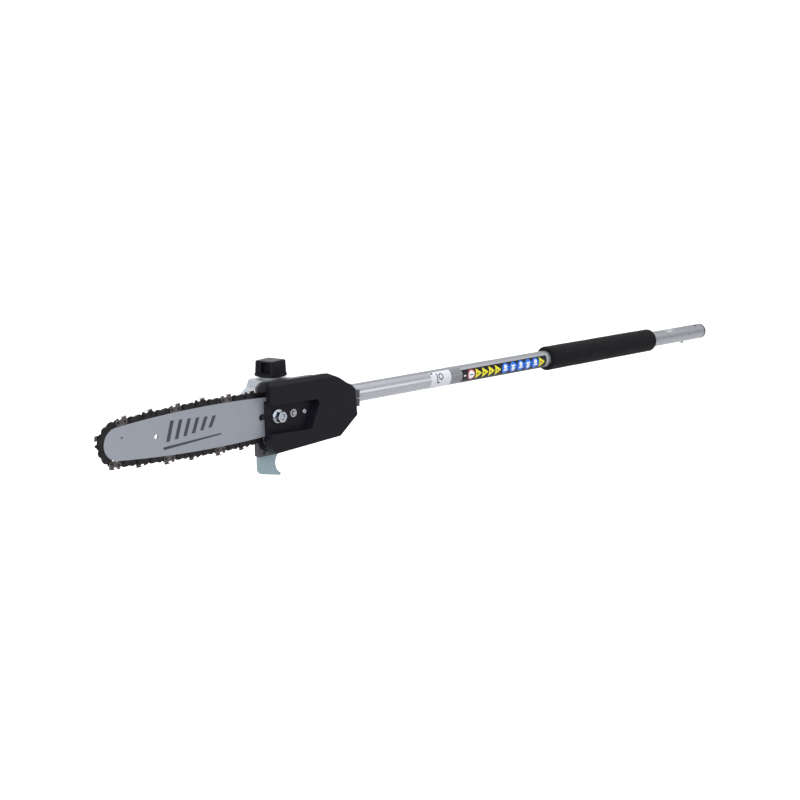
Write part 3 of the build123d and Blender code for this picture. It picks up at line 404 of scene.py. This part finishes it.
def grip_profile(x0, x1, bore, outer):
    """Foam sleeve in section: rounded lips at both ends, a long soft barrel between them."""
    cut_x, cut_r = MOUTH_CUT
    lip_turns = [QUARTER * step / LIP_STEPS for step in range(LIP_STEPS + 1)]
    points = [(x1 - cut_x, bore), (x0 + cut_x, bore), (x0, bore + cut_r)]
    for turn in lip_turns:
        points.append((x0 + GRIP_LIP - GRIP_LIP * math.cos(turn),
                       outer - GRIP_LIP + GRIP_LIP * math.sin(turn)))
    for step in range(1, GRIP_SPANS):
        points.append((x0 + GRIP_LIP + (x1 - x0 - 2 * GRIP_LIP) * step / GRIP_SPANS, outer))
    for turn in lip_turns:
        points.append((x1 - GRIP_LIP + GRIP_LIP * math.sin(turn),
                       outer - GRIP_LIP + GRIP_LIP * math.cos(turn)))
    points.append((x1, bore + cut_r))
    return points


def foam_sleeve():
    low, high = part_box("foam_grip")
    bore = half_height("pole_tube") + GRIP_PLAY
    profile = grip_profile(low.x, high.x, bore, half_height("foam_grip") - SWELL_ROOM)
    sleeve = turned(profile, GRIP_SEGMENTS)
    for vertex in sleeve.verts:
        place = vertex.co
        radius = math.hypot(place.y, place.z)
        if radius > bore + SKIN_FROM:
            broad = Vector([value * scale for value, scale in zip(place, BROAD_SCALE)])
            swell = BROAD_SWELL * noise.noise(broad) + FINE_SWELL * noise.noise(place * FINE_SCALE)
            place.y *= (radius + swell) / radius
            place.z *= (radius + swell) / radius
    piece = visible_piece("foam_sleeve", sleeve, "grip_foam", POLE, smooth=True)
    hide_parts("foam_grip")


# ---------------------------------------------------------------- printed marks
INK_THICK = 0.04 * MM
LIFT = 0.01 * MM                    # of a mark above the face it is printed on
DICE = 1.2 * MM                     # width of the strips into which marks are cut before bending
LABEL_TURN = math.radians(4)        # middle of the long labels, from -Y towards -Z
ARROW_TURN = math.radians(-60)
# Where each shape of the symbol strip sits, as a share of the strip's length.
SYMBOL_SHARES = (0.102, 0.185, 0.261, 0.335, 0.409, 0.497, 0.589, 0.681, 0.770, 0.861, 0.943)
# Bars of the white label in millimetres: width, height, place from its head end, place round the tube.
INFO_BARS = ((1.8, 15, 12.5, 4), (5, 1.8, 15, -3.2), (4, 3, 3.5, 12), (9, 1.6, 9, -13))


def disc(radius, centre=(0.0, 0.0), points=32):
    turns = [2 * math.pi * k / points for k in range(points)]
    return [(centre[0] + radius * math.cos(turn), centre[1] + radius * math.sin(turn))
            for turn in turns]


def box_outline(width, height, centre=(0.0, 0.0)):
    x, y = centre
    half_w, half_h = width / 2, height / 2
    return [(x - half_w, y - half_h), (x + half_w, y - half_h),
            (x + half_w, y + half_h), (x - half_w, y + half_h)]


def triangle(width, height, cut=0.08):
    """Apex towards +X; cut is the share taken off at the corners."""
    end, side = width / 2, height / 2
    near_end, near_side = end * (1 - cut), side * (1 - cut)
    return [(-end, -near_side), (-near_end, -side), (near_end, -side * cut),
            (near_end, side * cut), (-near_end, side), (-end, near_side)]


def shifted(outline, x, y=0.0):
    return [(px + x, py + y) for px, py in outline]


def closed_loop(mesh, outline):
    """The new vertices and edges of an outline at height zero."""
    verts = [mesh.verts.new((x, y, 0)) for x, y in outline]
    edges = [mesh.edges.new((verts[k], verts[(k + 1) % len(verts)])) for k in range(len(verts))]
    return verts, edges


def flat_marks(outlines, holes=()):
    """Thin closed plates in the plane of the first two axes, diced finely enough to be bent.

    The first outlines get the holes, one each.
    """
    mesh = bmesh.new()
    for index, outline in enumerate(outlines):
        verts, edges = closed_loop(mesh, outline)
        if index < len(holes):
            hole_edges = closed_loop(mesh, holes[index])[1]
            edges += hole_edges
            bmesh.ops.triangle_fill(mesh, edges=edges, use_beauty=True)
        else:
            mesh.faces.new(verts)
    low = min(vertex.co.y for vertex in mesh.verts)
    width = max(vertex.co.y for vertex in mesh.verts) - low
    cuts = max(2, int(width / DICE))
    for cut in range(1, cuts):
        geometry = list(mesh.verts) + list(mesh.edges) + list(mesh.faces)
        level = low + width * cut / cuts
        bmesh.ops.bisect_plane(mesh, geom=geometry, plane_co=(0, level, 0), plane_no=(0, 1, 0))
    top = bmesh.ops.extrude_face_region(mesh, geom=list(mesh.faces))
    for item in top["geom"]:
        if isinstance(item, bmesh.types.BMVert):
            item.co.z += INK_THICK
    bmesh.ops.recalc_face_normals(mesh, faces=mesh.faces)
    return mesh


def wrapped(mesh, radius, turn):
    """Bends flat marks round the tube: turn is the angle from -Y towards -Z of their middle."""
    for vertex in mesh.verts:
        angle = turn - vertex.co.y / radius
        reach = radius + vertex.co.z
        vertex.co = Vector((vertex.co.x, -reach * math.cos(angle), -reach * math.sin(angle)))
    return mesh


def symbol_label_marks():
    """Plain coloured shapes in a row: ring, triangles, round spots, triangle."""
    low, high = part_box("symbol_label")
    skin = half_depth("symbol_label") + LIFT
    over = skin + INK_THICK
    radius = 8.3 * MM
    rim_share, field_share, head_share = 0.78, 0.76, 0.42       # of that radius
    dash_from_end, sideways, dot_back = 5.5 * MM, 2.4 * MM, 2.2 * MM
    ring_x, *places = [low.x + (high.x - low.x) * share for share in SYMBOL_SHARES]
    triangles = places[:4] + places[-1:]
    spots = places[4:-1]

    def band(name, marks, ink, reach=skin):
        visible_piece(name, wrapped(marks, reach, LABEL_TURN), ink, POLE)

    yellow = [shifted(triangle(12.4 * MM, 15.5 * MM), x) for x in triangles]
    blue = [shifted(disc(radius), x) for x in spots]
    ring, ring_hole, ring_field = [shifted(disc(radius * share), ring_x)
                                   for share in (1, rim_share, field_share)]
    dash = shifted(box_outline(4.0 * MM, 2.2 * MM), low.x + dash_from_end)
    band("label_triangles", flat_marks(yellow), "ink_yellow")
    band("label_spots", flat_marks(blue), "ink_blue")
    band("label_ring", flat_marks([ring], [ring_hole]), "ink_red")
    band("label_ring_field", flat_marks([ring_field, dash]), "ink_white")
    pale = []
    for index, x in enumerate(spots):
        lean = (-1) ** index * sideways
        pale.append(shifted(disc(radius * head_share, points=20), x, lean))
        pale.append(shifted(box_outline(8.6 * MM, 2.6 * MM), x, -lean))
    dark = [shifted(disc(1.5 * MM, points=14), x - dot_back) for x in triangles]
    dark.append(shifted(box_outline(8.4 * MM, 1.3 * MM), ring_x))
    band("label_spot_marks", flat_marks(pale), "ink_white", over)
    band("label_triangle_marks", flat_marks(dark), "ink_black", over)


def info_label_marks():
    """Plain bars and a ring in place of printed text."""
    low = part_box("info_label")[0]
    centre, outer, inner = (low.x + 20 * MM, 5.5 * MM), 5.0 * MM, 3.3 * MM
    ring, ring_hole = [disc(radius, centre, points=28) for radius in (outer, inner)]
    bars = [box_outline(width * MM, height * MM, (low.x + x * MM, y * MM))
            for width, height, x, y in INFO_BARS]
    marks = wrapped(flat_marks([ring, *bars], [ring_hole]), half_depth("info_label") + LIFT, LABEL_TURN)
    visible_piece("info_label_marks", marks, "ink_black", POLE)


def insertion_arrow():
    """A chevron that points to the coupling end."""
    low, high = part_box("insertion_label")
    label_thick = 0.2 * MM
    arm, reach, thick = 3.2 * MM, 3.0 * MM, 1.3 * MM
    tip, dash_x = high.x - 2.5 * MM, low.x + 4.0 * MM
    chevron = [(tip, 0), (tip - reach, arm), (tip - reach - thick, arm), (tip - thick, 0),
               (tip - reach - thick, -arm), (tip - reach, -arm)]
    dash = box_outline(3.0 * MM, thick, (dash_x, 0))
    skin = half_height("pole_tube") + label_thick + LIFT
    marks = wrapped(flat_marks([chevron, dash]), skin, ARROW_TURN)
    visible_piece("insertion_arrow", marks, "ink_black", POLE)


def bar_stripes():
    """Plain slanted dashes over a thin line on the outer face of the guide bar."""
    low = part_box("bar_side_plates")[0]
    start = low.x + 86 * MM
    count, pitch, thick, slant = 6, 12.5 * MM, 5.2 * MM, 7.0 * MM
    first_base, rise = -8.5 * MM, 1.6 * MM              # each dash stands a little higher
    first_height, shrink = 25 * MM, 2.2 * MM            # and is a little shorter
    outlines = []
    for index in range(count):
        x = start + pitch * index
        base = first_base + rise * index
        top = base + first_height - shrink * index
        outlines.append([(x, base), (x + thick, base), (x + thick + slant, top), (x + slant, top)])
    left, right = start - 4 * MM, start + 82 * MM
    line_left, line_right = (-17.5 * MM, -14.0 * MM), (-11.5 * MM, -9.6 * MM)   # lower, upper edge
    outlines.append([(left, line_left[0]), (right, line_right[0]),
                     (right, line_right[1]), (left, line_left[1])])
    marks = flat_marks(outlines)
    for vertex in marks.verts:
        vertex.co = Vector((vertex.co.x, low.y + LIFT - vertex.co.z, vertex.co.y))
    bmesh.ops.recalc_face_normals(marks, faces=marks.faces)
    visible_piece("bar_stripes", marks, "ink_grey", BAR)


# ---------------------------------------------------------------- floor, light, camera
FLOOR_DROP = 0.45                   # from the part's lowest point to the floor
FLOOR_FRONT, FLOOR_BACK = -6.0, 3.0
SWEEP_RADIUS, SWEEP_STEPS = 1.5, 12
BACKDROP_TOP = 6.0
FLOOR_HALF_WIDTH = 8.0
STUDIO_TURN = Matrix.Rotation(math.radians(-45), 4, "Z")    # faces the sweep to the camera

HEAD = (-0.95, 0.0, 0.0)
MIDDLE = (-0.65, 0.0, 0.0)
# Name, position, point aimed at, size, power in watts.
LIGHTS = (
    ("key", (-2.5, -1.0, 0.8), HEAD, (1.2, 1.0), 32.0),
    ("top", (-0.5, 0.2, 2.2), MIDDLE, (2.2, 0.8), 24.0),
    ("fill", (0.8, -2.2, 0.4), MIDDLE, (1.4, 1.0), 9.0),
    ("rear", (-0.2, 2.2, 0.9), MIDDLE, (2.0, 0.6), 12.0),
)
SKY_HEIGHTS = (0.15, 0.75)          # of a direction, where the sky begins and ends to brighten
SKY_STRENGTHS = (0.34, 1.1)

CAMERA_PLACE = (-2.14599, -1.39640, 0.35768)
CAMERA_YAW, CAMERA_PITCH, CAMERA_ROLL = 44.94, 10.893, -0.12    # degrees
CAMERA_LENS = 63.94


def floor_and_backdrop():
    """Pale sweep: a floor well below the part that curves up behind it."""
    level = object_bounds()[0][2] - FLOOR_DROP
    profile = [(FLOOR_FRONT, 0.0)]
    for step in range(SWEEP_STEPS + 1):
        turn = QUARTER * step / SWEEP_STEPS
        profile.append((FLOOR_BACK + SWEEP_RADIUS * math.sin(turn),
                        SWEEP_RADIUS - SWEEP_RADIUS * math.cos(turn)))
    profile.append((FLOOR_BACK + SWEEP_RADIUS, BACKDROP_TOP))
    mesh = bmesh.new()
    edges = []
    for side in (-FLOOR_HALF_WIDTH, FLOOR_HALF_WIDTH):
        places = [STUDIO_TURN @ Vector((side, depth, level + height)) for depth, height in profile]
        edges.append([mesh.verts.new(place) for place in places])
    left, right = edges
    for index in range(len(profile) - 1):
        mesh.faces.new((left[index], right[index], right[index + 1], left[index + 1]))
    mesh_object("studio_sweep", mesh, "studio_paper", smooth=True)


def soft_light(name, position, target, size, power):
    data = bpy.data.lights.new(name, "AREA")
    data.shape = "RECTANGLE"
    data.size, data.size_y = size
    data.energy = power
    lamp = in_scene(name, data)
    lamp.location = position
    lamp.rotation_euler = (Vector(target) - Vector(position)).to_track_quat("-Z", "Y").to_euler()


def sky():
    """Brighter towards the top; plain white where the camera looks at it directly."""
    world = bpy.data.worlds.new("studio")
    world.use_nodes = True
    tree = world.node_tree
    background = tree.nodes["Background"]
    place = tree.nodes.new("ShaderNodeTexCoord")
    split = tree.nodes.new("ShaderNodeSeparateXYZ")
    height = tree.nodes.new("ShaderNodeMapRange")
    height.inputs["From Min"].default_value, height.inputs["From Max"].default_value = SKY_HEIGHTS
    height.inputs["To Min"].default_value, height.inputs["To Max"].default_value = SKY_STRENGTHS
    seen = tree.nodes.new("ShaderNodeLightPath")
    strength = tree.nodes.new("ShaderNodeMath")
    strength.operation = "MAXIMUM"
    for source, target in (
            (place.outputs["Generated"], split.inputs["Vector"]),
            (split.outputs["Z"], height.inputs["Value"]),
            (height.outputs["Result"], strength.inputs[0]),
            (seen.outputs["Is Camera Ray"], strength.inputs[1]),
            (strength.outputs["Value"], background.inputs["Strength"])):
        tree.links.new(source, target)
    background.inputs["Color"].default_value = (1.0, 1.0, 1.0, 1.0)
    bpy.context.scene.world = world


def camera():
    data = bpy.data.cameras.new("camera")
    data.sensor_width = 36.0
    data.lens = CAMERA_LENS
    data.clip_start = 0.05
    data.clip_end = 50.0
    yaw, pitch, roll = [math.radians(angle) for angle in (CAMERA_YAW, CAMERA_PITCH, CAMERA_ROLL)]
    aim = Matrix.Rotation(-yaw, 4, "Z") @ Matrix.Rotation(QUARTER - pitch, 4, "X")
    turn = aim @ Matrix.Rotation(roll, 4, "Z")
    view = in_scene("camera", data)
    view.matrix_world = Matrix.Translation(CAMERA_PLACE) @ turn
    bpy.context.scene.camera = view


bpy.context.scene.view_settings.view_transform = "Standard"
paint_cad_nodes()
foam_sleeve()
symbol_label_marks()
info_label_marks()
insertion_arrow()
bar_stripes()
floor_and_backdrop()
sky()
for light in LIGHTS:
    soft_light(*light)
camera()
